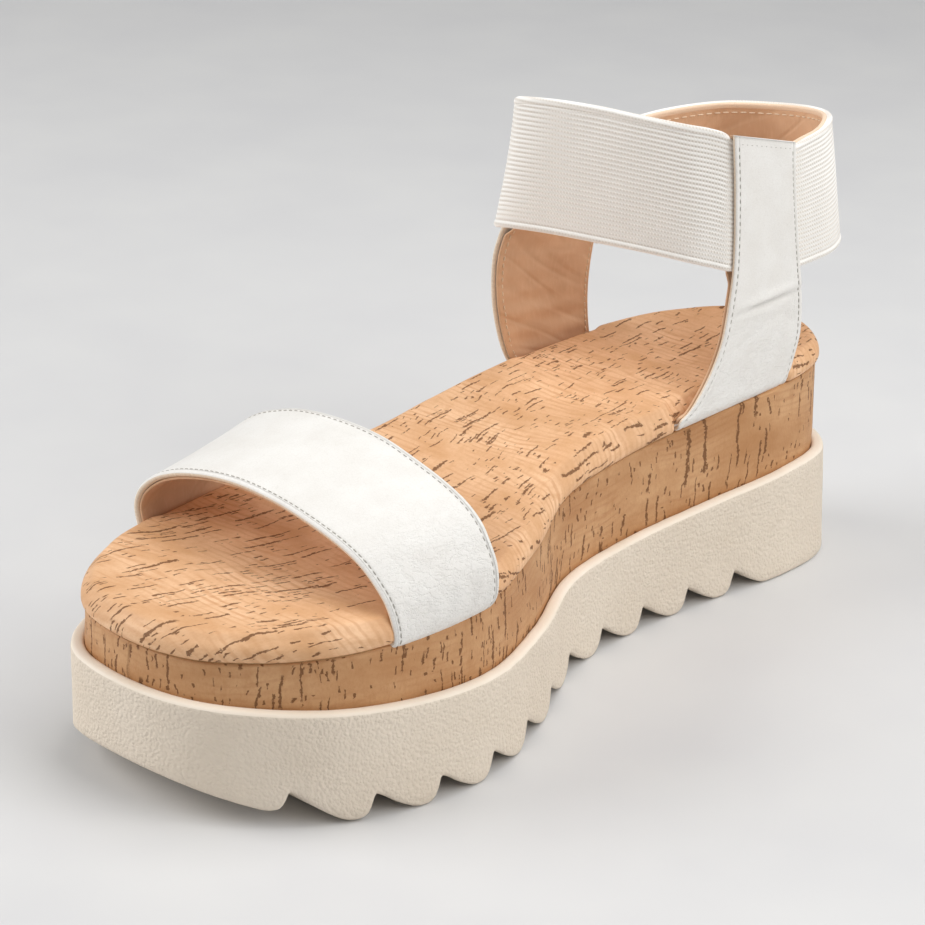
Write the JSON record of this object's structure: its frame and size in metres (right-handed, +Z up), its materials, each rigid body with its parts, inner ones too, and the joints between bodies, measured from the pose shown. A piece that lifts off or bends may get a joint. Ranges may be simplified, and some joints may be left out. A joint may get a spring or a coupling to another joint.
{
  "type": "wedge sandal",
  "caption": "Right-foot wedge sandal: lugged platform outsole, cork-wrapped wedge and footbed, leather toe strap and an elastic ankle collar on leather side straps.",
  "frame": {"origin": "on the ground, under the centre of the sandal's box", "axes": "+Z up; Y along the sole, toe at -Y and heel at +Y; +X towards the arch (inner) side of a right foot"},
  "size_m": [0.1066, 0.2782, 0.149],
  "materials": {
    "outsole_eva": "matte cream foam rubber with a fine moulded pebble",
    "cork": "satin cork veneer with dark brown flecks",
    "foam": "matte closed-cell foam",
    "insole_board": "matte fibreboard",
    "steel": "rolled spring steel",
    "white_leather": "smooth satin white leather",
    "tan_lining": "matte tan microfibre lining",
    "white_elastic": "matte ribbed woven elastic"
  },
  "bodies": {
    "sole": {"outsole": "outsole_eva", "wedge_core": "foam", "wedge_cork_wrap": "cork", "insole_board": "insole_board", "steel_shank": "steel", "shank_rivet_front": "steel", "shank_rivet_rear": "steel", "footbed_foam": "foam", "footbed_cork_cover": "cork", "toe_strap_leather": "white_leather", "toe_strap_lining": "tan_lining", "arch_strap_root_leather": "white_leather", "arch_strap_root_lining": "tan_lining", "outer_strap_root_leather": "white_leather", "outer_strap_root_lining": "tan_lining"},
    "ankle_collar": {"arch_strap_leather": "white_leather", "arch_strap_lining": "tan_lining", "outer_strap_leather": "white_leather", "outer_strap_lining": "tan_lining", "heel_band_elastic": "white_elastic", "heel_band_lining": "tan_lining"},
    "instep_elastic": {"front_elastic": "white_elastic"}
  },
  "joints": [
    {"name": "ankle_collar_tilt", "type": "hinge", "parent": "sole", "child": "ankle_collar", "pos_m": [-0.0075, 0.0719, 0.096], "axis": [1, 0, 0], "range_deg": [-15, 20], "stiffness_Nm_per_rad": 0.5},
    {"name": "instep_elastic_stretch", "type": "slide", "parent": "ankle_collar", "child": "instep_elastic", "axis": [0.337, -0.9415, 0], "range_m": [0, 0.012], "stiffness_N_per_m": 400}
  ]
}
